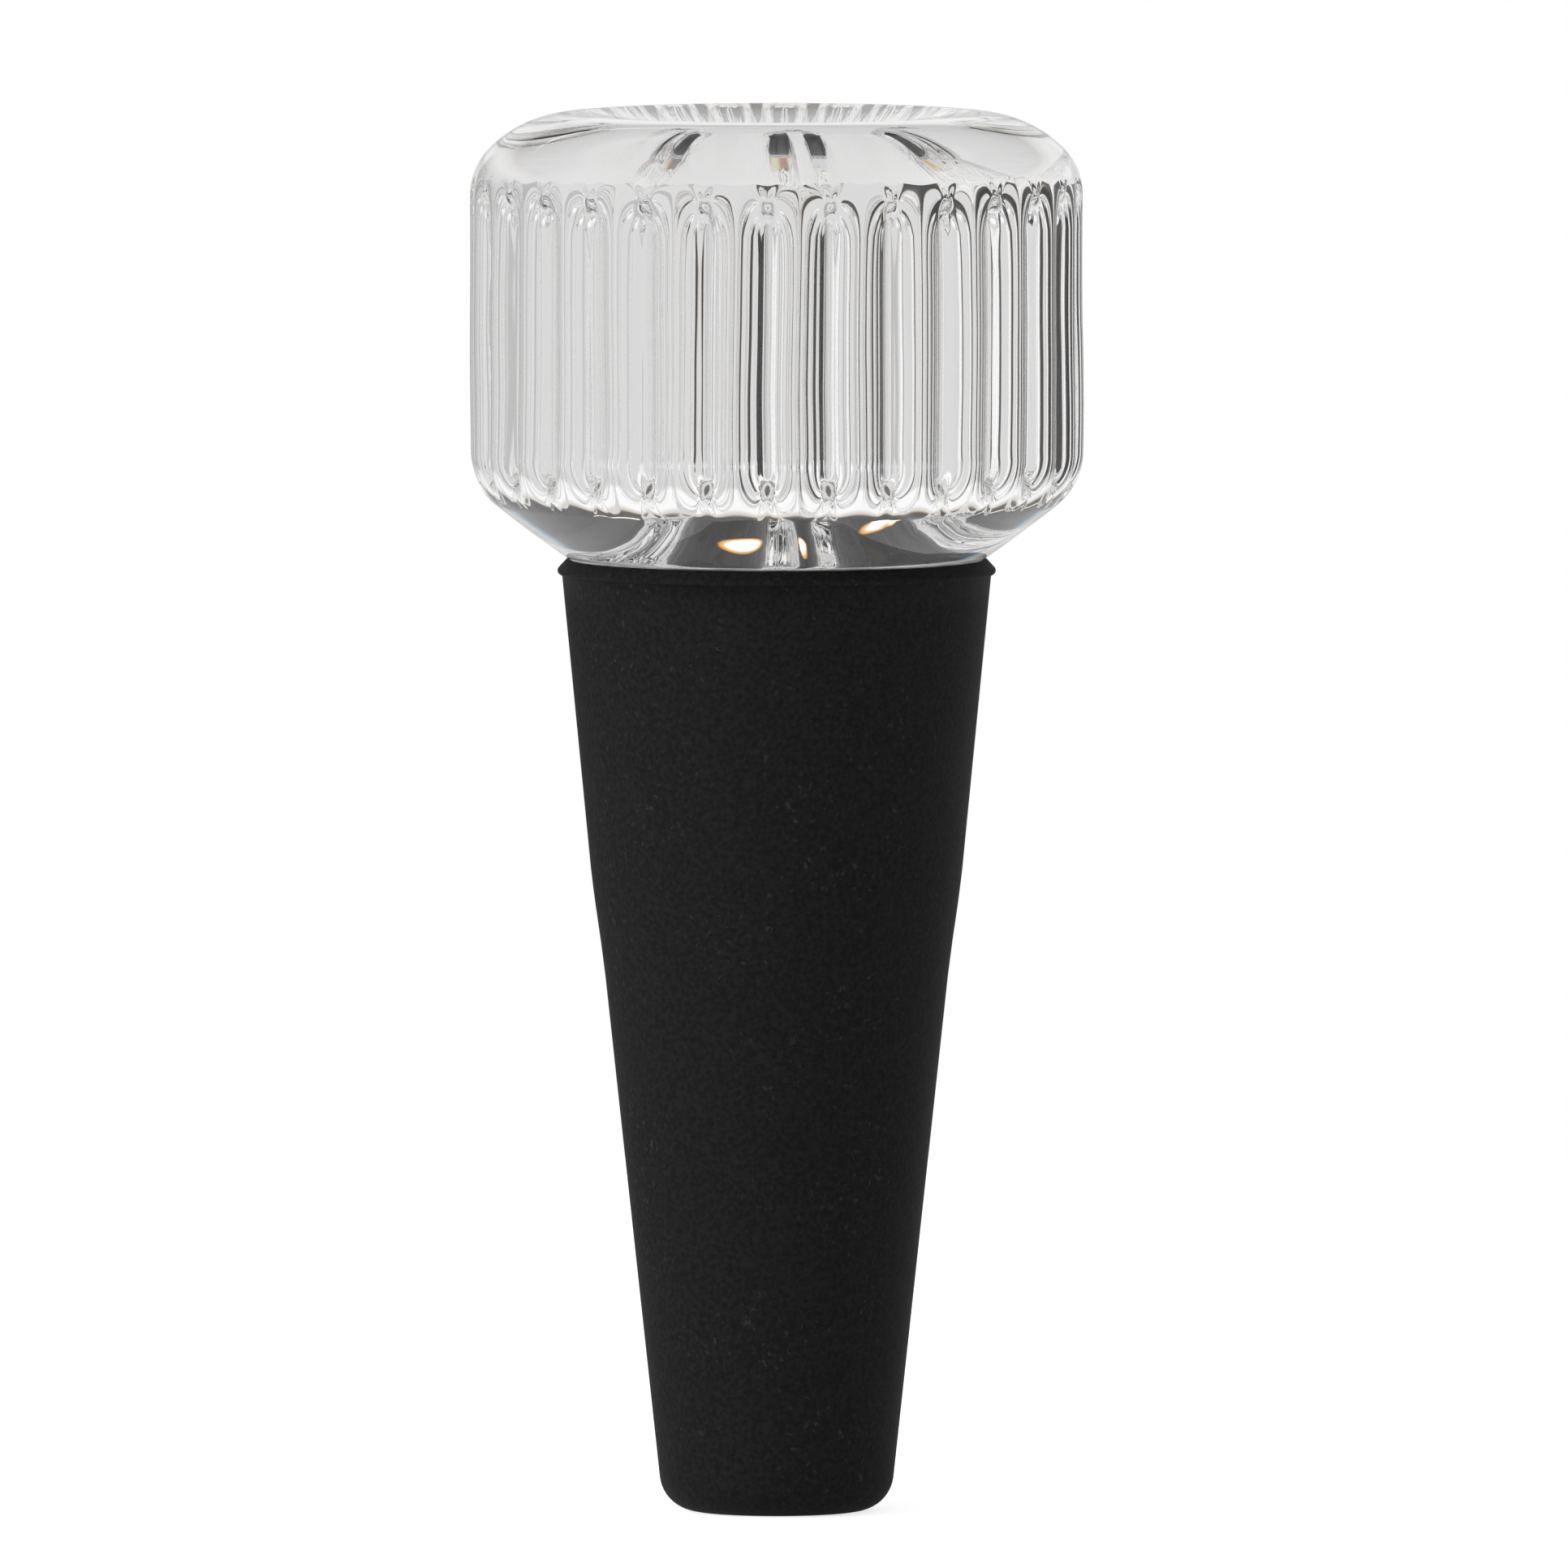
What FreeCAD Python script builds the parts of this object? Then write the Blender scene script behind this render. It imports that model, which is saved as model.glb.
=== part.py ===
"""Wine stopper: a ribbed crystal knob whose spigot sits in a tapered rubber plug.

Frame: +Z up along the axis, origin at the middle of the plug's flat tip, front towards -Y.
Lengths are millimetres and angles degrees. The knob rests on the plug's rim, its seat.
"""

import FreeCAD, Part
import math
import os
import Sketcher
from FreeCAD import Placement, Rotation, Vector

SIZES = (
    # The rubber plug, from its tip up to the rim that carries the knob
    ("seat_height", 54.5, "height of the rim above the tip"),
    ("tip_radius", 6.44, "radius of the taper where it would meet the tip plane"),
    ("tip_round", 2.15, "rounding of the closed end"),
    ("knee_height", 31.6, "height where the sleeve starts to spread over the spigot"),
    ("knee_radius", 9.9, "outer radius there"),
    ("knee_length", 4.2, "height over which it spreads"),
    ("knee_spread", 0.62, "how much wider it gets"),
    ("knee_round", 25.0, "blend at both ends of the knee"),
    ("wall_top_radius", 12.26, "outer radius of the wall just under the bead"),
    ("bead_foot", 0.9, "depth of the bead's lower edge below the seat"),
    ("bead_crest", 0.53, "depth of the bead's crest below the seat"),
    ("bead_radius", 12.46, "radius over the bead's crest"),
    ("rim_radius", 12.02, "outer radius of the seat"),
    # The spigot under the knob, and its socket in the plug
    ("spigot_length", 18.7, "length of the spigot below the seat"),
    ("spigot_radius", 9.5, "radius of the spigot at its root"),
    ("spigot_taper", 4.6, "angle of its side from the axis"),
    ("spigot_end_bevel", 1.0, "bevel of its free end"),
    ("socket_clearance", 0.05, "gap round the spigot"),
    ("socket_end_gap", 0.5, "air space under the spigot"),
    # The crystal knob's turned outline
    ("knob_height", 25.5, "height of the knob above the seat"),
    ("knob_radius", 17.5, "radius over the ribs"),
    ("foot_radius", 12.0, "radius where the lower bevel meets the seat plane"),
    ("bevel_angle", 36.8, "slope of the lower bevel from level"),
    ("lower_round", 4.0, "rounding between the bevel and the upright side"),
    ("side_round", 3.8, "rounding at the outside of the shoulder"),
    ("top_round", 6.9, "rounding at the inside of the shoulder"),
    ("shoulder_split", 45.0, "angle where one rounding takes over from the other"),
    ("dish_depth", 1.0, "depth of the shallow dish in the top"),
    # The upright ribs round the knob
    ("rib_count", 30, "number of ribs"),
    ("rib_depth", 1.3, "depth of the valleys between the ribs"),
    ("rib_turn", -1.87, "turn of the ring of ribs about the axis"),
    ("waist_depth", 1.5, "depth of the turned waist that carries the ribs"),
    ("runout_length", 4.4, "height over which the waist comes out again under the shoulder"),
    ("runout_round", 4.2, "radius of that rise"),
    ("crest_clearance", 0.03, "how far the turned side stays clear of the ribs' crests"),
)
SHEET = "Sizes"
SPARE = 1.0  # how far a rough shape, or what cuts it, goes past the finished one


class Size:
    """A number together with the sheet formula that gives it, so one line writes both."""

    def __init__(self, value, text):
        self.value, self.text = value, text

    def __add__(self, other):
        other = as_size(other)
        return Size(self.value + other.value, f"({self.text} + {other.text})")

    def __sub__(self, other):
        other = as_size(other)
        return Size(self.value - other.value, f"({self.text} - {other.text})")

    def __mul__(self, other):
        other = as_size(other)
        return Size(self.value * other.value, f"({self.text} * {other.text})")

    def __truediv__(self, other):
        other = as_size(other)
        return Size(self.value / other.value, f"({self.text} / {other.text})")

    def __rsub__(self, other):
        return as_size(other) - self

    def __rmul__(self, other):
        return as_size(other) * self

    def __rtruediv__(self, other):
        return as_size(other) / self


def as_size(number):
    return number if isinstance(number, Size) else Size(number, f"({number})")


def sine(angle):
    return Size(math.sin(math.radians(angle.value)), f"sin({angle.text})")


def cosine(angle):
    return Size(math.cos(math.radians(angle.value)), f"cos({angle.text})")


def tangent(angle):
    return Size(math.tan(math.radians(angle.value)), f"tan({angle.text})")


def arctangent(ratio):
    """An angle in degrees. The sheet's atan gives an angle with a unit, which is divided out."""
    return Size(math.degrees(math.atan(ratio.value)), f"(atan({ratio.text}) / 1 deg)")


def root(number):
    return Size(math.sqrt(number.value), f"sqrt({number.text})")


doc = FreeCAD.newDocument("WineStopper")
sheet = doc.addObject("Spreadsheet::Sheet", SHEET)
size = {}
for row, (alias, value, meaning) in enumerate(SIZES, start=1):
    sheet.set(f"A{row}", meaning)
    sheet.set(f"B{row}", str(value))
    sheet.setAlias(f"B{row}", alias)
    size[alias] = Size(value, f"{SHEET}.{alias}")
doc.recompute()
ZERO = Size(0.0, "0")


def new_body(label):
    body = doc.addObject("PartDesign::Body", label)
    body.Label = label
    return body


def new_sketch(body, label, role, height=None, turn=None):
    """A sketch on one of the body's origin planes, raised and turned where a height is given."""
    sketch = body.newObject("Sketcher::SketchObject", label)
    plane = next(item for item in body.Origin.OriginFeatures if item.Role == role)
    sketch.AttachmentSupport = [(plane, "")]
    sketch.MapMode = "FlatFace"
    if height is not None:
        spin = Rotation(Vector(0, 0, 1), turn.value)
        sketch.AttachmentOffset = Placement(Vector(0, 0, height.value), spin)
        sketch.setExpression("AttachmentOffset.Base.z", height.text)
        sketch.setExpression("AttachmentOffset.Rotation.Angle", turn.text)
    return sketch


def dimension(sketch, kind, place, length):
    """One driving dimension of a sketch, named and bound to its formula."""
    index = sketch.addConstraint(Sketcher.Constraint(kind, *place, length.value))
    name = f"{kind.lower()}_{index}"
    sketch.renameConstraint(index, name)
    sketch.setExpression(f"Constraints.{name}", length.text)


def pin(sketch, place, corner):
    """Hold one end of an edge at a corner, on an axis where that coordinate is nothing."""
    across, up = corner
    if across is ZERO:
        sketch.addConstraint(Sketcher.Constraint("PointOnObject", *place, -2))
    else:
        dimension(sketch, "DistanceX", place, across)
    if up is ZERO:
        sketch.addConstraint(Sketcher.Constraint("PointOnObject", *place, -1))
    else:
        dimension(sketch, "DistanceY", place, up)


def arc_between(start, end, radius, side):
    """The short arc from start to end, its centre to the left (side 1) or the right (-1)."""
    chord = end - start
    reach = math.sqrt(max(radius**2 - (chord.Length / 2) ** 2, 0.0))
    left = Vector(-chord.y, chord.x, 0).normalize()
    middle = (start + end) / 2 + left * side * (reach - radius)
    return Part.Arc(start, middle, end)


def draw(sketch, outline):
    """Draw a closed outline. Each item is a corner and the edge that leaves it: None for a
    straight edge, or a radius and the side its centre lies on."""
    points = [Vector(corner[0].value, corner[1].value, 0) for corner, edge in outline]
    ends = []
    for index, (corner, edge) in enumerate(outline):
        start, end = points[index], points[(index + 1) % len(points)]
        if edge is None:
            number = sketch.addGeometry(Part.LineSegment(start, end))
            ends.append(((number, 1), (number, 2)))
            continue
        radius, side = edge
        number = sketch.addGeometry(arc_between(start, end, radius.value, side))
        # A sketch keeps every arc anticlockwise, so a clockwise one swaps its ends
        ends.append(((number, 1), (number, 2)) if side > 0 else ((number, 2), (number, 1)))
    for index, (corner, edge) in enumerate(outline):
        first = ends[index][0]
        sketch.addConstraint(Sketcher.Constraint("Coincident", *ends[index - 1][1], *first))
        pin(sketch, first, corner)
        if edge is not None:
            dimension(sketch, "Radius", (first[0],), edge[0])


def revolve(body, sketch, label, kind="PartDesign::Revolution"):
    feature = body.newObject(kind, label)
    feature.Profile = sketch
    feature.ReferenceAxis = (sketch, ["V_Axis"])
    feature.Angle = 360.0
    sketch.Visibility = False
    return feature


# Heights and radii that several features share
seat = size["seat_height"]
top = seat + size["knob_height"]
over_ribs = size["knob_radius"]
turned_side = over_ribs + size["crest_clearance"]
split = size["shoulder_split"]
bevel_turn = 90 - size["bevel_angle"]  # turn from the bevel to the upright side

# The lower bevel, its rounding and the foot of the upright side
bevel_corner = seat + (turned_side - size["foot_radius"]) * tangent(size["bevel_angle"])
side_foot = bevel_corner + size["lower_round"] * tangent(bevel_turn / 2)
bevel_top = side_foot - size["lower_round"] * sine(bevel_turn)
bevel_top_radius = turned_side - size["lower_round"] * (1 - cosine(bevel_turn))

# The two roundings of the shoulder, which meet at the split angle
split_height = top - size["top_round"] * (1 - sine(split))
side_head = split_height - size["side_round"] * sine(split)
split_radius = turned_side - size["side_round"] * (1 - cosine(split))
dish_radius = split_radius - size["top_round"] * cosine(split)


def spigot_outline(clearance, end_gap):
    """Half section of the spigot, or of the socket round it, to a little above the seat."""
    foot = seat - size["spigot_length"] - end_gap
    bevel = size["spigot_end_bevel"]
    lean = tangent(size["spigot_taper"])
    root_radius = size["spigot_radius"] + clearance
    foot_radius = root_radius - (size["spigot_length"] + end_gap) * lean
    return [
        ((ZERO, foot), None),
        ((foot_radius - bevel, foot), None),
        ((foot_radius + bevel * lean, foot + bevel), None),
        ((root_radius, seat), None),
        ((root_radius, seat + SPARE), None),
        ((ZERO, seat + SPARE), None),
    ]


def waisted_blank():
    """Half section of a rough bar with a waist, whose floor rises again under the shoulder."""
    bar = over_ribs + 2 * SPARE
    floor = over_ribs - size["waist_depth"]
    rise_start = split_height - size["runout_length"]
    rise_width = size["waist_depth"] + SPARE
    rise = root(rise_width * (2 * size["runout_round"] - rise_width))
    return [
        ((ZERO, seat - SPARE), None),
        ((bar, seat - SPARE), None),
        ((bar, bevel_top), None),
        ((floor, bevel_top), None),
        ((floor, rise_start), (size["runout_round"], -1)),
        ((over_ribs + SPARE, rise_start + rise), None),
        ((bar, rise_start + rise), None),
        ((bar, top + SPARE), None),
        ((ZERO, top + SPARE), None),
    ]


def turned_waste():
    """Half section of all that is turned away: outside the dish, shoulder, side and bevel."""
    dish = size["dish_depth"]
    dish_round = (dish_radius * dish_radius + dish * dish) / (2 * dish)
    outside = over_ribs + 3 * SPARE
    return [
        ((ZERO, top - dish), (dish_round, 1)),
        ((dish_radius, top), (size["top_round"], -1)),
        ((split_radius, split_height), (size["side_round"], -1)),
        ((turned_side, side_head), None),
        ((turned_side, side_foot), (size["lower_round"], -1)),
        ((bevel_top_radius, bevel_top), None),
        ((size["foot_radius"], seat), None),
        ((ZERO, seat), None),
        ((ZERO, seat - 2 * SPARE), None),
        ((outside, seat - 2 * SPARE), None),
        ((outside, top + 2 * SPARE), None),
        ((ZERO, top + 2 * SPARE), None),
    ]


def rib_section(body):
    """One rib cut across: a circle through the crest and the valleys on its two sides."""
    half_pitch = 180 / size["rib_count"]
    valley = over_ribs - size["rib_depth"]
    half_width = valley * sine(half_pitch)
    rise = over_ribs - valley * cosine(half_pitch)
    crest_round = (half_width * half_width + rise * rise) / (2 * rise)
    sketch = new_sketch(body, "rib_section", "XY_Plane", seat, size["rib_turn"])
    middle = over_ribs - crest_round
    centre = Vector(middle.value, 0, 0)
    circle = sketch.addGeometry(Part.Circle(centre, Vector(0, 0, 1), crest_round.value))
    pin(sketch, (circle, 3), (middle, ZERO))
    dimension(sketch, "Radius", (circle,), crest_round)
    sketch.Visibility = False
    return sketch


def make_knob():
    """The crystal knob: a ribbed bar, turned to the knob's outline, with a spigot below it."""
    body = new_body("glass_knob")
    outline = new_sketch(body, "blank_outline", "XZ_Plane")
    draw(outline, waisted_blank())
    revolve(body, outline, "blank")
    rib = body.newObject("PartDesign::Pad", "rib")
    rib.Profile = rib_section(body)
    rib.setExpression("Length", size["knob_height"].text)
    doc.recompute()

    ring = body.newObject("PartDesign::PolarPattern", "rib_ring")
    ring.Originals = [rib]
    axis = next(item for item in body.Origin.OriginFeatures if item.Role == "Z_Axis")
    ring.Axis = (axis, [""])
    ring.Angle = 360.0
    ring.setExpression("Occurrences", size["rib_count"].text)
    body.Tip = ring
    doc.recompute()

    outline = new_sketch(body, "waste_outline", "XZ_Plane")
    draw(outline, turned_waste())
    revolve(body, outline, "turning", "PartDesign::Groove")
    doc.recompute()
    outline = new_sketch(body, "spigot_outline", "XZ_Plane")
    draw(outline, spigot_outline(ZERO, ZERO))
    body.Tip = revolve(body, outline, "spigot")
    return body


def edge_ring(feature, radius, height):
    """Name of the circular edge of a feature at a radius and height."""
    for index, edge in enumerate(feature.Shape.Edges, start=1):
        curve = edge.Curve
        if isinstance(curve, Part.Circle) and abs(curve.Radius - radius.value) < 1e-4:
            if abs(curve.Center.z - height.value) < 1e-4:
                return f"Edge{index}"
    raise ValueError(f"no edge at radius {radius.value} and height {height.value}")


def fillet(body, base, label, radius, edges):
    feature = body.newObject("PartDesign::Fillet", label)
    feature.Base = (base, edges)
    feature.setExpression("Radius", radius.text)
    doc.recompute()
    return feature


def lean_of(start, end):
    """How far a straight stretch of wall leans out from the axis, in degrees."""
    return arctangent((end[0] - start[0]) / (end[1] - start[1]))


def blend(corner, lean_before, lean_after):
    """A wide rounding where a wall that goes up changes its lean."""
    side = 1 if lean_before.value > lean_after.value else -1
    setback = size["knee_round"] * tangent(side * (lean_before - lean_after) / 2)
    start = (corner[0] - setback * sine(lean_before), corner[1] - setback * cosine(lean_before))
    end = (corner[0] + setback * sine(lean_after), corner[1] + setback * cosine(lean_after))
    return [(start, (size["knee_round"], side)), (end, None)]


def make_plug():
    """The rubber plug: a closed tapered sleeve with a knee, a beaded rim and a deep socket."""
    body = new_body("rubber_plug")
    tip = (size["tip_radius"], ZERO)
    knee_foot = (size["knee_radius"], size["knee_height"])
    knee_head = (knee_foot[0] + size["knee_spread"], knee_foot[1] + size["knee_length"])
    bead_foot = (size["wall_top_radius"], seat - size["bead_foot"])
    low_lean, knee_lean = lean_of(tip, knee_foot), lean_of(knee_foot, knee_head)
    high_lean = lean_of(knee_head, bead_foot)
    outline = new_sketch(body, "sleeve_outline", "XZ_Plane")
    draw(outline, [
        ((ZERO, ZERO), None),
        (tip, None),
        *blend(knee_foot, low_lean, knee_lean),
        *blend(knee_head, knee_lean, high_lean),
        (bead_foot, None),
        ((size["bead_radius"], seat - size["bead_crest"]), None),
        ((size["rim_radius"], seat), None),
        ((ZERO, seat), None),
    ])
    sleeve = revolve(body, outline, "sleeve")
    doc.recompute()
    fillet(body, sleeve, "tip_rounding", size["tip_round"], [edge_ring(sleeve, *tip)])

    hole = new_sketch(body, "socket_outline", "XZ_Plane")
    draw(hole, spigot_outline(size["socket_clearance"], size["socket_end_gap"]))
    body.Tip = revolve(body, hole, "socket", "PartDesign::Groove")
    return body


parts = [make_knob(), make_plug()]
doc.recompute()

faults = [item.Label for item in doc.Objects if "Invalid" in item.State or "Error" in item.State]
for part in parts:
    if part.Shape.isNull() or not part.Shape.isValid() or len(part.Shape.Solids) != 1:
        faults.append(part.Label)
if faults:
    raise RuntimeError("failed: " + ", ".join(faults))

os.makedirs("parts", exist_ok=True)
for part in parts:
    part.Shape.exportStep(f"parts/{part.Label}.step")
    box = part.Shape.optimalBoundingBox(True, False)
    print(f"{part.Label}: {part.Shape.Volume:.1f} mm3, {len(part.Shape.Faces)} faces, "
          f"radius {box.XMax:.2f}, from {box.ZMin:.2f} to {box.ZMax:.2f} mm")
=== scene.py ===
import math
from functools import lru_cache

import bmesh
import bpy
from mathutils import Matrix, Vector, noise


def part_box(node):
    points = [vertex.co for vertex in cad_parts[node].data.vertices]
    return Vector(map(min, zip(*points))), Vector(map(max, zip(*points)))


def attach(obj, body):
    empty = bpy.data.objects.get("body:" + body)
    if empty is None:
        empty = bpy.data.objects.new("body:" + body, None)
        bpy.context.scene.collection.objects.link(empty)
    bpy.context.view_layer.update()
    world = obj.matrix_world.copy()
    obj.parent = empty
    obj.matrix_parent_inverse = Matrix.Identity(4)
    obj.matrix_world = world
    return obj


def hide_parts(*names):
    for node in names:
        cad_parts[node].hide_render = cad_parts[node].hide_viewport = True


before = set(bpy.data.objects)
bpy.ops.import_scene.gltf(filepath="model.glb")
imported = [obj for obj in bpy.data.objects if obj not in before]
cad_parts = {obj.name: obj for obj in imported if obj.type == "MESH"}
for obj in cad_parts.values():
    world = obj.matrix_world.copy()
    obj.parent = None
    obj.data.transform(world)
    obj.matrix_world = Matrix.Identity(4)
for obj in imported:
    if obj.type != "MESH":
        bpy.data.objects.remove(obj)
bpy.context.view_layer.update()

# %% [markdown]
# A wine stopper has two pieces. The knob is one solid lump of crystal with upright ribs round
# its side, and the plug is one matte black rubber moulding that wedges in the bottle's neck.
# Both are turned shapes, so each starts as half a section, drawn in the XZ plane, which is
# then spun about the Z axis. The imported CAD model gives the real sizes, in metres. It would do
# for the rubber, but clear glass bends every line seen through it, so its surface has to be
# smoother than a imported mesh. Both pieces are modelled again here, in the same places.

MM = 0.001
knob_low, knob_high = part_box("glass_knob")
_, plug_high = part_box("rubber_plug")
TOP = knob_high.z / MM
SEAT = plug_high.z / MM
SPIGOT_END = knob_low.z / MM
print(f"the stopper is {TOP:.1f} mm tall, and its knob sits {SEAT:.1f} mm up")

# %% [markdown]
# A half section is a chain of edges. It is drawn the way a lathe tool moves: straight runs,
# and arcs that turn about a centre. In bmesh a run is the last vertex extruded and moved, and
# an arc is the last vertex spun about its centre. The pen remembers the vertex that it is at.
# Each run or arc has its own number of steps, so that rows are close together only where the
# surface curves.


# %% A pen that draws half sections
class Pen:
    """Draws a chain of edges in the XZ plane. Lengths are in millimetres."""

    def __init__(self, radius, height):
        self.mesh = bmesh.new()
        place = (radius * MM, 0.0, height * MM)
        self.tip = bmesh.ops.create_vert(self.mesh, co=place)["vert"][0]

    def run(self, radius, height, steps=1):
        """A straight stretch to a point, in equal steps."""
        stride = (Vector((radius * MM, 0.0, height * MM)) - self.tip.co) / steps
        for _ in range(steps):
            made = bmesh.ops.extrude_vert_indiv(self.mesh, verts=[self.tip])
            self.tip = made["verts"][0]
            bmesh.ops.translate(self.mesh, verts=[self.tip], vec=stride)

    def arc(self, centre_radius, centre_height, degrees, steps):
        """An arc about a centre. Positive degrees turn from up towards the outside."""
        made = bmesh.ops.spin(
            self.mesh, geom=[self.tip], cent=(centre_radius * MM, 0.0, centre_height * MM),
            axis=(0.0, 1.0, 0.0), angle=math.radians(degrees), steps=steps,
        )
        self.tip = [v for v in made["geom_last"] if isinstance(v, bmesh.types.BMVert)][0]

    def bow(self, radius, height, degrees, steps):
        """A very flat arc to a point, which turns by a few degrees on the way."""
        start = self.tip.co.copy()
        chord = Vector((radius * MM, 0.0, height * MM)) - start
        rise = chord.length * math.tan(math.radians(degrees) / 4) / 2
        bulge = Vector((chord.z, 0.0, -chord.x)).normalized() * rise
        for step in range(1, steps + 1):
            share = step / steps
            made = bmesh.ops.extrude_vert_indiv(self.mesh, verts=[self.tip])
            self.tip = made["verts"][0]
            self.tip.co = start + chord * share + bulge * 4 * share * (1 - share)

    def at(self):
        """Where the pen is: its radius and height."""
        return self.tip.co.x / MM, self.tip.co.z / MM


# %% [markdown]
# Spinning a long outline right round in hundreds of steps is slow, because every new row is
# checked against all the others. It is quicker to spin one wedge and then to repeat the wedge
# round the axis with a second spin that duplicates. The wedges meet edge to edge, and the
# points on the axis come out many times, so doubles are merged before the normals are
# recalculated. The finished object stays at the origin, with its place in its mesh.


# %% Spin a half section into a solid
MERGE_DISTANCE = 0.0005 * MM


def spin(shape, angle, steps, duplicate):
    """Spins all of a shape about the Z axis."""
    bmesh.ops.spin(
        shape, geom=shape.verts[:] + shape.edges[:] + shape.faces[:], cent=(0, 0, 0),
        axis=(0, 0, 1), angle=angle, steps=steps, use_duplicate=duplicate,
    )


def turn_solid(pen, name, wedges, steps, first_angle=0.0):
    """Spins a pen's outline into a closed piece, wedge by wedge, and returns its object."""
    shape = pen.mesh
    turn = Matrix.Rotation(first_angle, 3, "Z")
    bmesh.ops.rotate(shape, verts=shape.verts, cent=(0, 0, 0), matrix=turn)
    spin(shape, math.tau / wedges, steps, False)
    spin(shape, math.tau, wedges, True)
    bmesh.ops.remove_doubles(shape, verts=shape.verts, dist=MERGE_DISTANCE)
    bmesh.ops.recalc_face_normals(shape, faces=shape.faces)
    for face in shape.faces:
        face.smooth = True
    open_edges = sum(not edge.is_manifold for edge in shape.edges)
    mesh = bpy.data.meshes.new(name)
    shape.to_mesh(mesh)
    shape.free()
    piece = bpy.data.objects.new(name, mesh)
    bpy.context.scene.collection.objects.link(piece)
    triangles = sum(len(face.vertices) - 2 for face in mesh.polygons)
    print(f"{name}: {triangles} triangles, {open_edges} open edges")
    return piece


# %% [markdown]
# The knob's outline, from the hidden spigot up: a rounded spigot end, the tapered spigot, the
# flat foot that rests on the rubber, a bevel that swells a little, a rounding, the upright side,
# a shoulder with two roundings, and a shallow dish in the top. Two arcs that share a tangent
# make a softer shoulder than one arc would, as on pressed glass. The rows are closest together
# at the top of the side and in the roundings, where the ribs end and the glass bends most.

# %% Draw the knob's outline
KNOB_RADIUS = 17.5
FOOT_RADIUS = 11.9
FOOT_ROUND = 1.6
BEVEL_ANGLE = 36.8
BEVEL_SWELL = 2.5
LOWER_ROUND = 4.0
SIDE_ROUND = 3.8
TOP_ROUND = 6.9
SHOULDER_SPLIT = 45.0
DISH_DEPTH = 1.0
RIM_SOFTNESS = 1.2
SPIGOT_RADIUS = 9.5
SPIGOT_END_RADIUS = 8.0
SPIGOT_END_ROUND = 1.0
SPIGOT_END_TURN = 84.0
ROOT_ROUND = 0.8
FINE_STRETCH = 1.5


def draw_knob():
    """Half section of the knob, without its ribs."""
    slope = math.radians(BEVEL_ANGLE)
    pen = Pen(0.0, SPIGOT_END)
    pen.run(SPIGOT_END_RADIUS - SPIGOT_END_ROUND, SPIGOT_END, 1)
    pen.arc(SPIGOT_END_RADIUS - SPIGOT_END_ROUND, SPIGOT_END + SPIGOT_END_ROUND,
            -SPIGOT_END_TURN, 3)
    pen.run(SPIGOT_RADIUS, SEAT - ROOT_ROUND, 2)
    pen.arc(SPIGOT_RADIUS + ROOT_ROUND, SEAT - ROOT_ROUND, 90.0, 3)
    foot_setback = FOOT_ROUND * math.tan(slope / 2)
    pen.run(FOOT_RADIUS - foot_setback, SEAT, 1)
    pen.arc(FOOT_RADIUS - foot_setback, SEAT + FOOT_ROUND, BEVEL_SWELL / 2 - BEVEL_ANGLE, 5)
    corner = SEAT + (KNOB_RADIUS - FOOT_RADIUS) * math.tan(slope)
    side_foot = corner + LOWER_ROUND * math.tan((math.pi / 2 - slope) / 2)
    centre = KNOB_RADIUS - LOWER_ROUND
    pen.bow(centre + LOWER_ROUND * math.sin(slope), side_foot - LOWER_ROUND * math.cos(slope),
            BEVEL_SWELL, 6)
    pen.arc(centre, side_foot, BEVEL_ANGLE - 90.0, 26)
    split = math.radians(SHOULDER_SPLIT)
    split_height = TOP - TOP_ROUND * (1 - math.sin(split))
    side_head = split_height - SIDE_ROUND * math.sin(split)
    pen.run(KNOB_RADIUS, side_head - FINE_STRETCH, 14)
    pen.run(KNOB_RADIUS, side_head, 13)
    pen.arc(KNOB_RADIUS - SIDE_ROUND, side_head, -SHOULDER_SPLIT, 20)
    split_radius, _ = pen.at()
    dish_edge = split_radius - TOP_ROUND * math.cos(split)
    pen.arc(dish_edge, TOP - TOP_ROUND, SHOULDER_SPLIT - 90.0, 12)
    rim, _ = pen.at()
    dish_round = (rim * rim + DISH_DEPTH * DISH_DEPTH) / (2 * DISH_DEPTH)
    dish_lean = math.degrees(math.asin(rim / dish_round))
    pen.arc(rim, TOP - RIM_SOFTNESS, -dish_lean, 3)
    start, height = pen.at()
    bowl_round = start / math.sin(math.radians(dish_lean))
    pen.arc(0.0, height + bowl_round * math.cos(math.radians(dish_lean)), dish_lean, 10)
    return pen


knob_pen = draw_knob()
print(f"{len(knob_pen.mesh.verts)} rows in the knob's outline")

# %% [markdown]
# The ribs are a ring of upright round rods that touch each other. Modelled rod by rod they
# would need a union, which leaves long thin faces that show in clear glass. Instead every
# point of the turned surface is moved in towards the axis: not at all on a rib's crest, and
# by the valley's depth between two ribs. Fire polishing melts the valleys a little, which is
# the same as averaging the sharp profile over a narrow bell curve.

# %% Shape of one rib
RIB_COUNT = 30
RIB_DEPTH = 1.45
RIB_TURN = math.radians(-1.8)
COLUMNS_PER_RIB = 28
RIB_ROUNDNESS = 1.8
RIB_FLANK = 0.67
MELT = 0.22
BELL_STEPS, BELL_SPREAD = 9, 3
PITCH = math.tau / RIB_COUNT
HALF_WIDTH = KNOB_RADIUS * PITCH / 2


def sharp_drop(share):
    """Depth below the crest at a share of the way from a crest to a valley, before melting."""
    share = 1 - abs(1 - abs(share))
    return RIB_DEPTH * (1 - (1 - share**RIB_ROUNDNESS) ** RIB_FLANK)


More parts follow.
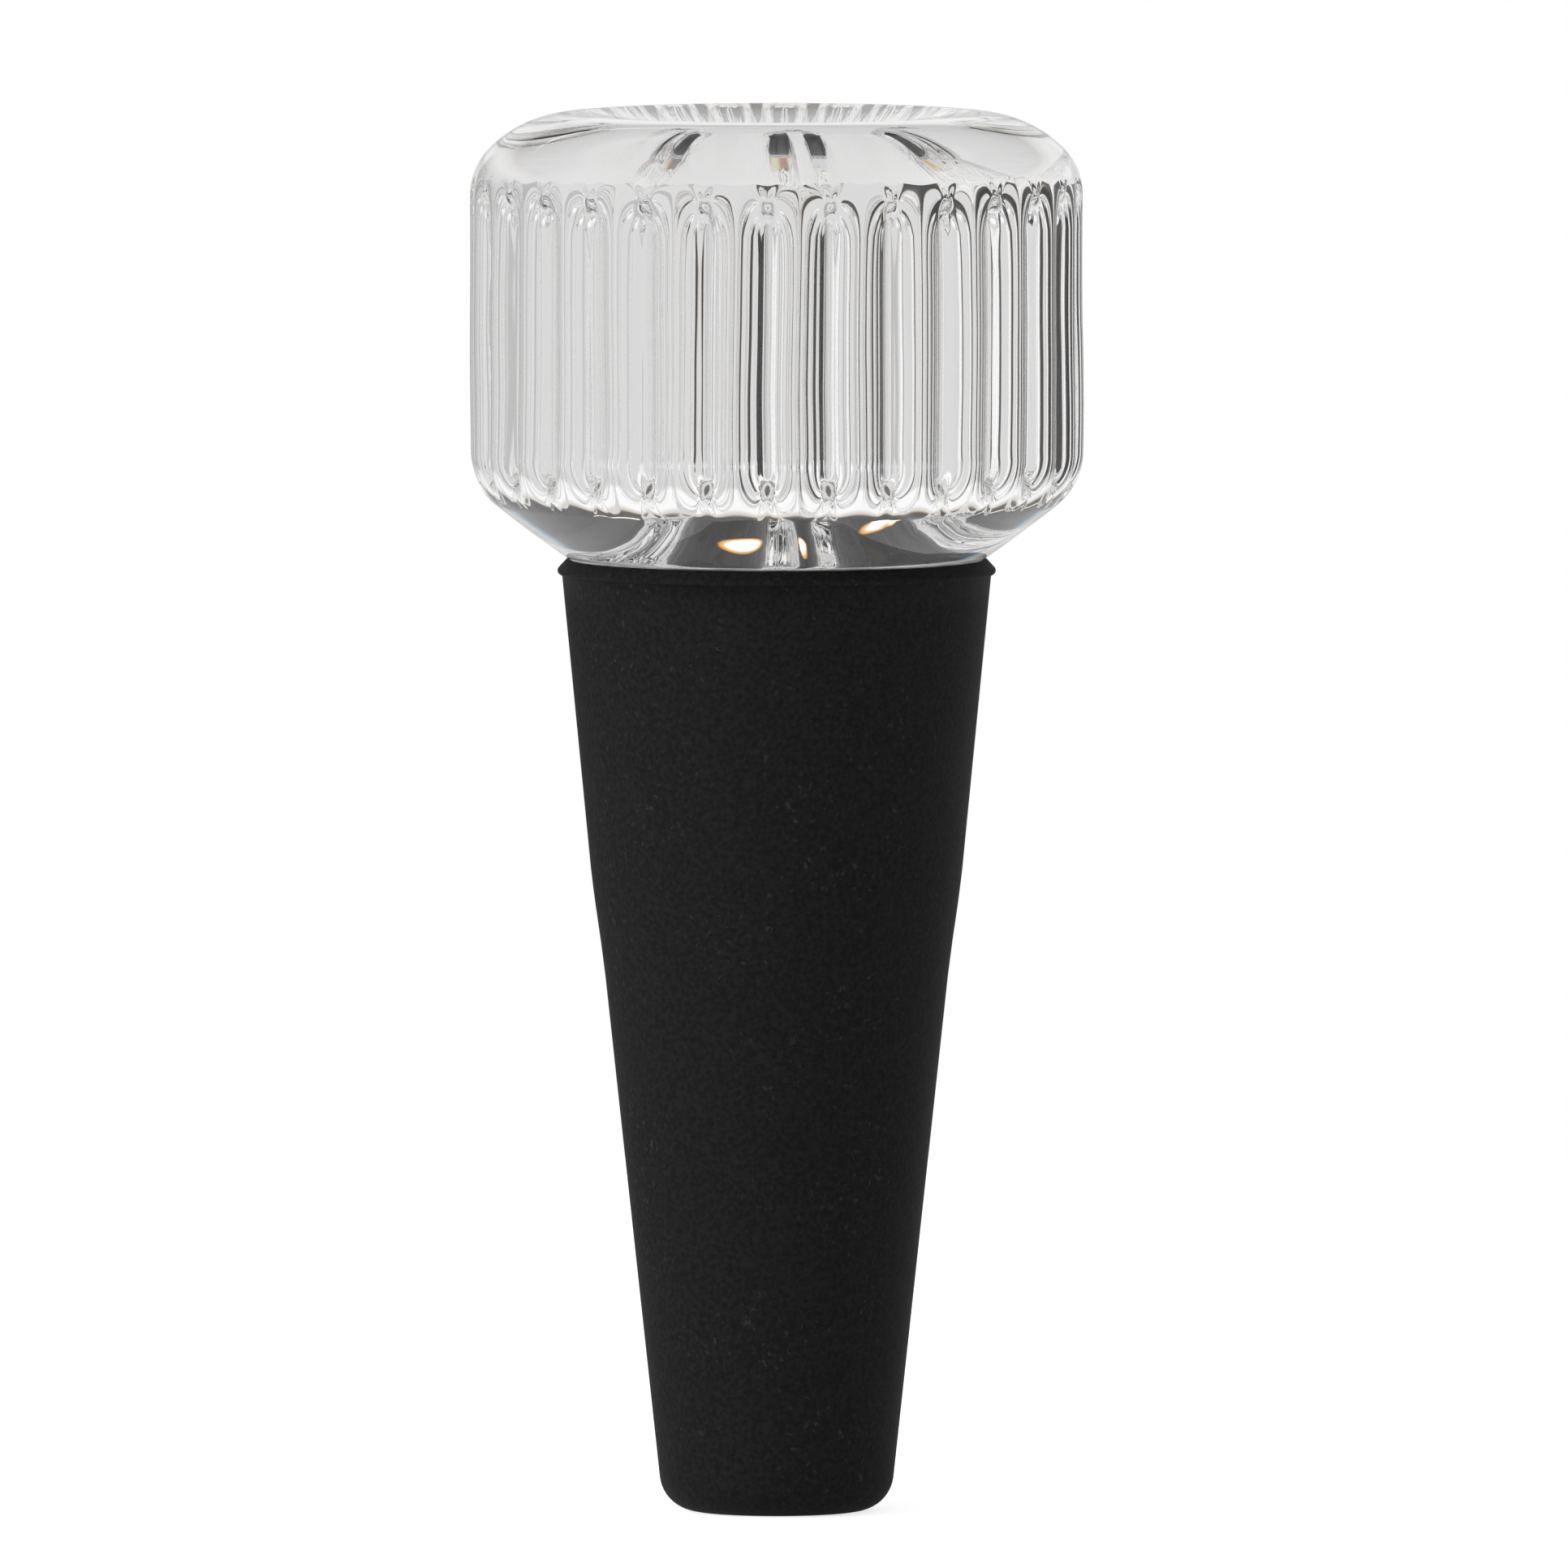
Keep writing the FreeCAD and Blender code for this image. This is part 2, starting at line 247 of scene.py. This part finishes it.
@lru_cache(maxsize=None)
def melted_drop(share):
    """The same depth after melting: a mean weighted by a bell curve."""
    steps = range(-BELL_STEPS, BELL_STEPS + 1)
    weights = {step: math.exp(-step * step / (2 * BELL_SPREAD**2)) for step in steps}
    reach = MELT / BELL_SPREAD / HALF_WIDTH
    total = sum(sharp_drop(share + step * reach) * weights[step] for step in weights)
    return total / sum(weights.values())


print(f"valleys {melted_drop(1.0) - melted_drop(0.0):.2f} mm deep after melting")

# %% [markdown]
# A valley runs out at both ends. Along its bottom it ends within a millimetre, which leaves a
# small round end like a bead. Its flanks reach a little further and fade over three or four
# millimetres, and they draw the nested arches. No glass is quite even, so two layers of noise
# then move each point by up to a tenth of a millimetre, less at the foot and at the shoulder.
# The noise is given a seed. Without one the clock picks it, and every run makes other glass.

# %% Press the ribs into the knob
VALLEY_FOOT, FOOT_LOBE = 58.8, 1.5
VALLEY_HEAD, HEAD_LOBE = 75.7, 1.3
FOOT_FADES = 1.0, 3.2
HEAD_FADES = 0.6, 4.0
LOBE_POWER = 6
UNEVENNESS = ((110.0, 0.10 * MM), (340.0, 0.016 * MM))
UNEVEN_FOOT, UNEVEN_HEAD, UNEVEN_FADE = 57.0, 78.0, 3.0
LEAST_UNEVEN = 0.2
EVEN_TOP = 0.1
NOISE_SEED = 4
noise.seed_set(NOISE_SEED)


def smooth(share):
    """Eases from 0 to 1, level at both ends."""
    share = min(max(share, 0.0), 1.0)
    return share * share * (3 - 2 * share)


def valley_share(height, lobe):
    """How much of its full depth a valley has at a height. A lobe of 0 is the valley's bottom."""
    above = height - VALLEY_FOOT + FOOT_LOBE * lobe
    below = VALLEY_HEAD + HEAD_LOBE * lobe - height
    foot_fade, head_fade = (low + (high - low) * lobe for low, high in (FOOT_FADES, HEAD_FADES))
    return smooth(above / foot_fade) * smooth(below / head_fade)


def press_ribs(mesh):
    """Moves each vertex in by the ribs' drop at its place, with a slight unevenness."""
    for vertex in mesh.vertices:
        height = vertex.co.z / MM
        radius = math.hypot(vertex.co.x, vertex.co.y) / MM
        angle = math.atan2(vertex.co.x, -vertex.co.y)
        share = round(abs(2 * (((angle - RIB_TURN) / PITCH) % 1.0) - 1), 4)
        fade = valley_share(height, 1 - share**LOBE_POWER)
        if fade > 0 and radius > FOOT_RADIUS:
            drop = (melted_drop(share) - melted_drop(0.0)) * fade
            vertex.co.x *= 1 - drop / radius
            vertex.co.y *= 1 - drop / radius
        if SEAT + FOOT_ROUND < height < TOP - EVEN_TOP:
            above = smooth((height - UNEVEN_FOOT) / UNEVEN_FADE)
            below = smooth((UNEVEN_HEAD - height) / UNEVEN_FADE)
            strength = LEAST_UNEVEN + (1 - LEAST_UNEVEN) * above * below
            for scale, size in UNEVENNESS:
                vertex.co += noise.noise_vector(vertex.co * scale) * size * strength


knob = turn_solid(knob_pen, "crystal_knob", RIB_COUNT, COLUMNS_PER_RIB, RIB_TURN)
press_ribs(knob.data)
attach(knob, "root")
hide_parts("glass_knob")

# %% [markdown]
# The plug is a closed sleeve. Its outside is a long taper with a soft knee where the sleeve
# starts to stretch over the spigot, and a small moulded bead runs round the rim. The socket
# inside follows the spigot with a hair of air between them, because rubber that isn't glued
# to glass never quite wets it, and that air keeps the glass bright.

# %% Draw the plug
PLUG_GAP = 0.02
TIP_FLAT = 4.55
TIP_ROUND = 2.15
TAPER_LEAN = 6.25
# Radius, height and number of steps of each stretch up to and over the knee
KNEE = (
    (9.79, 30.6, 12), (9.92, 31.6, 2), (10.05, 32.6, 2),
    (10.37, 34.8, 3), (10.50, 35.8, 2), (10.62, 36.8, 2),
)
WALL_TOP = (12.26, 53.6)
BEAD_RADIUS, BEAD_OFFSET, BEAD_TURN = 0.24, 0.02, 130.0
RIM_RADIUS = 12.02
SOCKET_LIP = 0.3
SOCKET_BEVEL = 0.6
SOCKET_END_GAP = 0.3
PLUG_WEDGES, COLUMNS_PER_WEDGE = 12, 18


def draw_plug():
    """Half section of the plug: outside from the tip up, then down into the socket."""
    pen = Pen(0.0, 0.0)
    pen.run(TIP_FLAT, 0.0, 2)
    pen.arc(TIP_FLAT, TIP_ROUND, TAPER_LEAN - 90.0, 12)
    for radius, height, steps in KNEE:
        pen.run(radius, height, steps)
    pen.run(*WALL_TOP, 10)
    pen.arc(WALL_TOP[0] + BEAD_OFFSET, WALL_TOP[1] + BEAD_RADIUS, -BEAD_TURN, 8)
    pen.run(RIM_RADIUS, SEAT - PLUG_GAP, 3)
    pen.run(SPIGOT_RADIUS + SOCKET_LIP, SEAT - PLUG_GAP, 2)
    pen.run(SPIGOT_RADIUS + PLUG_GAP, SEAT - ROOT_ROUND, 2)
    pen.run(SPIGOT_END_RADIUS + PLUG_GAP, SPIGOT_END + SOCKET_BEVEL, 3)
    pen.run(SPIGOT_END_RADIUS - SPIGOT_END_ROUND, SPIGOT_END - SOCKET_END_GAP, 2)
    pen.run(0.0, SPIGOT_END - SOCKET_END_GAP, 2)
    return pen


plug = turn_solid(draw_plug(), "plug_sleeve", PLUG_WEDGES, COLUMNS_PER_WEDGE)
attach(plug, "root")
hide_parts("rubber_plug")

# %% [markdown]
# Shader maths reads best as plain expressions. A small class wraps one socket, and adding or
# multiplying two of them adds the Math node that does it. Any other node comes from one
# method that takes the node's type, its settings and the values or links of its sockets.


# %% Node helpers
class Field:
    """One socket of a node tree, which can be added, multiplied and so on."""

    def __init__(self, tree, socket):
        self.tree, self.socket = tree, socket

    def math(self, operation, *others):
        values = dict(enumerate((self, *others)))
        return self.tree.node("ShaderNodeMath", {"operation": operation}, values)

    def __add__(self, other):
        return self.math("ADD", other)

    def __sub__(self, other):
        return self.math("SUBTRACT", other)

    def __mul__(self, other):
        return self.math("MULTIPLY", other)

    def __truediv__(self, other):
        return self.math("DIVIDE", other)

    def __rsub__(self, other):
        return (self * -1) + other

    __radd__ = __add__
    __rmul__ = __mul__

    def rise(self, low, high):
        """Eases from 0 at low to 1 at high."""
        settings = {"interpolation_type": "SMOOTHSTEP"}
        return self.tree.node("ShaderNodeMapRange", settings, {0: self, 1: low, 2: high})

    def within(self, low, high, soft):
        """1 between low and high, with soft edges inside them."""
        return self.rise(low, low + soft) * (1 - self.rise(high - soft, high))


class Tree:
    """A node tree that is built by asking for nodes."""

    def __init__(self, owner):
        owner.use_nodes = True
        self.tree = owner.node_tree
        self.tree.nodes.clear()

    def node(self, kind, settings=None, values=None, output=0):
        """Adds a node, sets it up, fills or links its sockets and returns one output."""
        made = self.tree.nodes.new(kind)
        for name, value in (settings or {}).items():
            setattr(made, name, value)
        for key, value in (values or {}).items():
            if isinstance(value, Field):
                self.tree.links.new(value.socket, made.inputs[key])
            else:
                made.inputs[key].default_value = value
        return Field(self, made.outputs[output]) if made.outputs else None

    def outputs(self, field, *places):
        """Some of the outputs of the node that a field comes from."""
        return [Field(self, field.socket.node.outputs[place]) for place in places]

    def mix(self, share, first, second):
        """Mixes two colours."""
        settings = {"data_type": "RGBA", "clamp_factor": True}
        return self.node("ShaderNodeMix", settings, {0: share, 6: first, 7: second}, output=2)


def grey(level):
    return (level, level, level, 1.0)


# %% [markdown]
# Crystal is clear and colourless. It gets its look from its form and from the room that shows
# through it, so its material is a plain refracting shader with the index of crystal. The faint
# unevenness of fire-polished glass is already in its form.

# %% Crystal
CRYSTAL_INDEX = 1.52


def crystal_material():
    material = bpy.data.materials.new("crystal")
    tree = Tree(material)
    shader = tree.node("ShaderNodeBsdfPrincipled", {}, {
        "Base Color": grey(1.0),
        "Roughness": 0.0,
        "IOR": CRYSTAL_INDEX,
        "Transmission Weight": 1.0,
    })
    tree.node("ShaderNodeOutputMaterial", {}, {0: shader})
    return material


knob.data.materials.append(crystal_material())
print("crystal on", knob.name)

# %% [markdown]
# The rubber is a matte, nearly black moulding. Under soft light it is a very dark grey with a
# dull sheen at the edges. It picks up fine pale dust and lint, which shows as faint specks.
# The wall of the socket, and the ring that the knob's foot covers, are painted a paler, streaked
# grey: a painted sheen that stands in for the light which the thin air film shows through the
# glass. They are seen only through the glass, as soft grey patches in the shoulder and as a
# light line along the foot.

# %% Rubber
CLOUD_SCALE, DUST_SCALE, GRAIN_SCALE = 180.0, 2600.0, 3500.0
DARK_MATTE, LIGHT_MATTE, DUST_GREY = 0.0078, 0.0142, 0.03
# The streak scale, the squeeze and the two greys below make the painted sheen in the socket and
# under the foot.
PAINTED_SHEEN_SCALE, PAINTED_SHEEN_SQUEEZE = 700.0, 0.12
DARK_PAINTED_SHEEN, LIGHT_PAINTED_SHEEN = 0.4, 0.8
SOCKET_LINE = 10.0 * MM
SOCKET_DEPTH = (SPIGOT_END - 1.0) * MM
COVERED_LINE = 11.8 * MM
COVERED_HEIGHT = (SEAT - 0.05) * MM
GRAIN_STRENGTH, GRAIN_DEPTH = 0.25, 0.0001
RUBBER_INDEX, RUBBER_SHEEN = 1.45, 0.1


def rubber_material():
    material = bpy.data.materials.new("rubber")
    tree = Tree(material)
    place = tree.node("ShaderNodeTexCoord", output=3)
    clouds = tree.node("ShaderNodeTexNoise", {}, {0: place, 2: CLOUD_SCALE, 3: 5.0})
    dust = tree.node("ShaderNodeTexNoise", {}, {0: place, 2: DUST_SCALE, 3: 2.0})
    specks = dust.rise(0.62, 0.72) * clouds.rise(0.42, 0.65)
    grain = tree.node("ShaderNodeTexNoise", {}, {0: place, 2: GRAIN_SCALE, 3: 3.0})
    matte = tree.mix(grain.rise(0.3, 0.7), grey(DARK_MATTE), grey(LIGHT_MATTE))
    outside = tree.mix(specks, matte, grey(DUST_GREY))
    x, y, z = tree.outputs(tree.node("ShaderNodeSeparateXYZ", {}, {0: place}), 0, 1, 2)
    radius = (x * x + y * y).math("SQRT")
    # Painted sheen: inside the socket and on the ring under the knob's foot, the rubber is
    # painted a pale streaked grey in place of the light that the air film shows through the
    # glass.
    inside = radius.math("LESS_THAN", SOCKET_LINE) * z.math("GREATER_THAN", SOCKET_DEPTH)
    painted_sheen_ring = radius.math("LESS_THAN", COVERED_LINE) * z.math("GREATER_THAN", COVERED_HEIGHT)
    upright = tree.node("ShaderNodeCombineXYZ", {}, {0: x, 1: y, 2: z * PAINTED_SHEEN_SQUEEZE})
    painted_sheen_streaks = tree.node("ShaderNodeTexNoise", {}, {0: upright, 2: PAINTED_SHEEN_SCALE, 3: 2.0})
    socket = tree.mix(painted_sheen_streaks.rise(0.38, 0.62), grey(DARK_PAINTED_SHEEN), grey(LIGHT_PAINTED_SHEEN))
    color = tree.mix(inside.math("MAXIMUM", painted_sheen_ring), outside, socket)
    bump = tree.node("ShaderNodeBump", {}, {
        "Strength": GRAIN_STRENGTH,
        "Distance": GRAIN_DEPTH,
        "Height": grain,
    })
    shader = tree.node("ShaderNodeBsdfPrincipled", {}, {
        "Base Color": color,
        "Roughness": 0.62 + clouds * 0.1,
        "IOR": RUBBER_INDEX,
        "Specular IOR Level": RUBBER_SHEEN,
        "Normal": bump,
    })
    tree.node("ShaderNodeOutputMaterial", {}, {0: shader})
    return material


plug.data.materials.append(rubber_material())
print("rubber on", plug.name)

# %% [markdown]
# Clear glass shows the studio round it, so the studio is part of the picture. Directions are
# given by their azimuth, which is 0 straight behind the object and negative at the left, and by
# how steeply they rise. The walls are a pale grey. A bright window stands at the left. Beside it
# is a black card, as photographers use to draw the edges of glass. To the right of the middle
# are two grey strips and then a dimmer corner, and the wall at the camera's side is darker too.
# Behind the object the wall is brighter at mid height. Above that is a dark gap with one long
# narrow lamp in it, warm at its rim, and a grey ceiling closes the room. Red and blue see the
# room at slightly different angles, as crystal spreads its colours. Only rays that have met the
# object see this room. The camera itself looks at plain white. Nothing in the room is both small
# and strong, so light needn't be aimed at it, and without that the render takes half the time.

# %% Studio
WALL = 0.70
WINDOW_LEVEL = 1.06
DISPERSION = (0.99, 1.0, 1.01)
BLACK_CARD = (math.radians(-76), math.radians(-16.5))
WINDOW = (math.radians(-150), math.radians(-82))
DIM_CORNER = (math.radians(56), math.radians(98))
CAMERA_SIDE = (2.98, 3.06)
SOFT_EDGE = math.radians(4)
GREY_STRIPS = ((math.radians(13), math.radians(23)), (math.radians(32), math.radians(44)))
LAMP_AZIMUTH, LAMP_HALF_WIDTH = math.radians(-14.5), math.radians(15)
LAMP_HEIGHT, LAMP_HALF_HEIGHT = 0.522, 0.0072
LAMP_LEAN = 0.011
LAMP_WHITE, LAMP_WARM = (1.6, 1.55, 1.45, 1.0), (1.0, 0.5, 0.14, 1.0)
# How steeply things rise: the lowest and highest, and the width of the soft edge
WALL_BAND = (-0.5, 0.3, 0.15)
WINDOW_BAND = (-0.5, 0.6, 0.1)
BRIGHT_BAND = (0.08, 0.37, 0.06)
GAP_BAND = (0.37, 0.76, 0.06)
CEILING = (0.7, 0.82)
BEHIND = (1.1, 1.4)
# How much each thing takes from the light of the wall, and what the bright band adds
CARD_LOSS, CORNER_LOSS, CAMERA_LOSS = 0.97, 0.5, 0.6
STRIP_LOSS, CEILING_LOSS, GAP_LOSS = 0.3, 0.62, 0.9
BRIGHT_GAIN = 0.28


def room_level(azimuth, z):
    """Brightness of the room in a direction."""
    on_wall = z.within(*WALL_BAND)
    around = azimuth.math("ABSOLUTE")
    behind = 1 - around.rise(*BEHIND)
    window = azimuth.within(*WINDOW, SOFT_EDGE) * z.within(*WINDOW_BAND)
    level = WALL + (WINDOW_LEVEL - WALL) * window
    level = level * (1 - CARD_LOSS * azimuth.within(*BLACK_CARD, SOFT_EDGE) * on_wall)
    level = level * (1 - CORNER_LOSS * azimuth.within(*DIM_CORNER, 3 * SOFT_EDGE) * on_wall)
    level = level * (1 - CAMERA_LOSS * around.rise(*CAMERA_SIDE) * on_wall)
    for strip in GREY_STRIPS:
        level = level * (1 - STRIP_LOSS * azimuth.within(*strip, SOFT_EDGE / 2) * on_wall)
    level = level * (1 - CEILING_LOSS * z.rise(*CEILING))
    level = level + BRIGHT_GAIN * z.within(*BRIGHT_BAND) * behind
    return level * (1 - GAP_LOSS * z.within(*GAP_BAND) * behind)


def studio_world():
    world = bpy.data.worlds.new("studio")
    world.cycles.sampling_method = "NONE"
    bpy.context.scene.world = world
    tree = Tree(world)
    direction = tree.node("ShaderNodeTexCoord", output=0)
    x, y, z = tree.outputs(tree.node("ShaderNodeSeparateXYZ", {}, {0: direction}), 0, 1, 2)
    azimuth = x.math("ARCTAN2", y)
    channels = [room_level(azimuth * bend, z * bend) for bend in DISPERSION]
    room = tree.node("ShaderNodeCombineColor", {}, dict(enumerate(channels)))
    across = (azimuth - LAMP_AZIMUTH) / LAMP_HALF_WIDTH
    up = (z - LAMP_HEIGHT - (azimuth - LAMP_AZIMUTH) * LAMP_LEAN) / LAMP_HALF_HEIGHT
    far = (across * across + up * up).math("SQRT")
    warm = tree.mix(far.rise(1.1, 1.35), LAMP_WARM, room)
    glow = tree.mix(far.rise(0.8, 1.1), LAMP_WHITE, warm)
    seen = tree.node("ShaderNodeLightPath")
    inside = tree.node("ShaderNodeBackground", {}, {0: glow, 1: 1.0})
    white = tree.node("ShaderNodeBackground", {}, {0: grey(1.0), 1: 1.0})
    both = tree.node("ShaderNodeMixShader", {}, {0: seen, 1: inside, 2: white})
    tree.node("ShaderNodeOutputWorld", {}, {0: both})


studio_world()
print("studio walls at", WALL)

# %% [markdown]
# The stopper stands on a small pale table. The camera sees the table as white as the backdrop,
# apart from the soft shadow under the plug, and the glass sees it as pale as the walls.

# %% Table
TABLE_RADIUS, TABLE_EDGES = 0.28, 96
TABLE_GREY, TABLE_DROP = 0.8, 0.02 * MM
GLOW_TO_CAMERA, GLOW_TO_GLASS = 0.75, 0.27


def table_material():
    material = bpy.data.materials.new("table")
    tree = Tree(material)
    camera_ray, glossy, through = tree.outputs(tree.node("ShaderNodeLightPath"), 0, 3, 6)
    glow = camera_ray * GLOW_TO_CAMERA + glossy.math("MAXIMUM", through) * GLOW_TO_GLASS
    shader = tree.node("ShaderNodeBsdfPrincipled", {}, {
        "Base Color": grey(TABLE_GREY),
        "Roughness": 0.9,
        "Emission Color": tree.mix(glow, grey(0.0), grey(1.0)),
        "Emission Strength": 1.0,
    })
    tree.node("ShaderNodeOutputMaterial", {}, {0: shader})
    return material


def make_table():
    shape = bmesh.new()
    bmesh.ops.create_circle(shape, cap_ends=True, radius=TABLE_RADIUS, segments=TABLE_EDGES)
    mesh = bpy.data.meshes.new("table")
    shape.to_mesh(mesh)
    shape.free()
    table = bpy.data.objects.new("table", mesh)
    bpy.context.scene.collection.objects.link(table)
    table.location.z = -TABLE_DROP
    mesh.materials.append(table_material())


make_table()

# %% [markdown]
# One soft lamp on the left gives the rubber its slightly lighter left side. The glass doesn't
# show it, because the room already holds all that the glass shows.

# %% Lamp
SOFT_LAMP_PLACE = Vector((-1.3, -0.5, 0.5))
SOFT_LAMP_AIM = Vector((0, 0, 0.04))
SOFT_LAMP_SIZE, SOFT_LAMP_POWER = 0.8, 14.0


def make_lamp():
    light = bpy.data.lights.new("left_lamp", "AREA")
    light.size = SOFT_LAMP_SIZE
    light.energy = SOFT_LAMP_POWER
    lamp = bpy.data.objects.new("left_lamp", light)
    bpy.context.scene.collection.objects.link(lamp)
    lamp.location = SOFT_LAMP_PLACE
    toward = SOFT_LAMP_AIM - lamp.location
    lamp.rotation_euler = toward.to_track_quat("-Z", "Y").to_euler()
    lamp.visible_transmission = False
    lamp.visible_glossy = False


make_lamp()

# %% [markdown]
# The photograph was taken from far away with a long lens, a little above the knob. At 2.5 m
# the top of the knob is seen at 2.8 degrees and the tip of the plug at 4.6. Light is bent and
# mirrored many times in the ribs, so its paths may be longer than is usual.

# %% Camera
CAMERA_DISTANCE = 2.5
CAMERA_HEIGHT = 0.2015
VIEW_WIDTH = 0.0896
AIM_ACROSS, AIM_HEIGHT = 0.00042, 0.0416
BOUNCES = 24
camera_data = bpy.data.cameras.new("camera")
camera = bpy.data.objects.new("camera", camera_data)
bpy.context.scene.collection.objects.link(camera)
camera.location = (AIM_ACROSS, -CAMERA_DISTANCE, CAMERA_HEIGHT)
aim = Vector((AIM_ACROSS, 0.0, AIM_HEIGHT)) - camera.location
camera.rotation_euler = aim.to_track_quat("-Z", "Y").to_euler()
camera_data.sensor_width = 36.0
camera_data.lens = camera_data.sensor_width * aim.length / VIEW_WIDTH
camera_data.clip_start = 0.01
bpy.context.scene.camera = camera
bpy.context.scene.view_settings.view_transform = "Standard"
bpy.context.scene.cycles.max_bounces = BOUNCES
bpy.context.scene.cycles.transmission_bounces = BOUNCES
bpy.context.scene.cycles.glossy_bounces = BOUNCES
print(f"a {camera_data.lens:.0f} mm lens at {aim.length:.2f} m")
